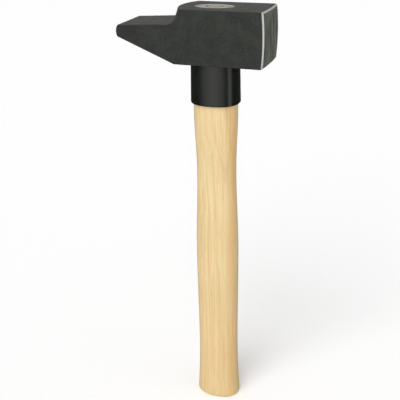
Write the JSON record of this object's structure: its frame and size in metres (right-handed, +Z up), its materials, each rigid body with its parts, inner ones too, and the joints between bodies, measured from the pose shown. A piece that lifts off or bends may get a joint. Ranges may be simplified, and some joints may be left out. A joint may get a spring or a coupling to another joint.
{
  "type": "machinist hammer",
  "caption": "Hand hammer with a square striking face, a stepped cross peen, an oval wooden handle wedged in the eye and a black collar under the head.",
  "frame": {"origin": "centre of the flat butt end of the handle", "axes": "+Z up the handle to the head, +X towards the striking face, +Y across the head's thickness"},
  "size_m": [0.1214, 0.042, 0.364],
  "materials": {
    "forged_head": "black satin paint over forged steel, with a ground bevel and a brushed striking face",
    "handle_wood": "pale straight-grained hickory under satin lacquer",
    "collar_plastic": "black satin moulded plastic",
    "wedge_wood": "sawn hardwood end grain",
    "wedge_steel": "turned steel edge, dull"
  },
  "bodies": {
    "root": {"head": "forged_head", "handle": "handle_wood", "collar": "collar_plastic", "wooden_wedge": "wedge_wood", "ring_wedge": "wedge_steel"}
  },
  "joints": []
}
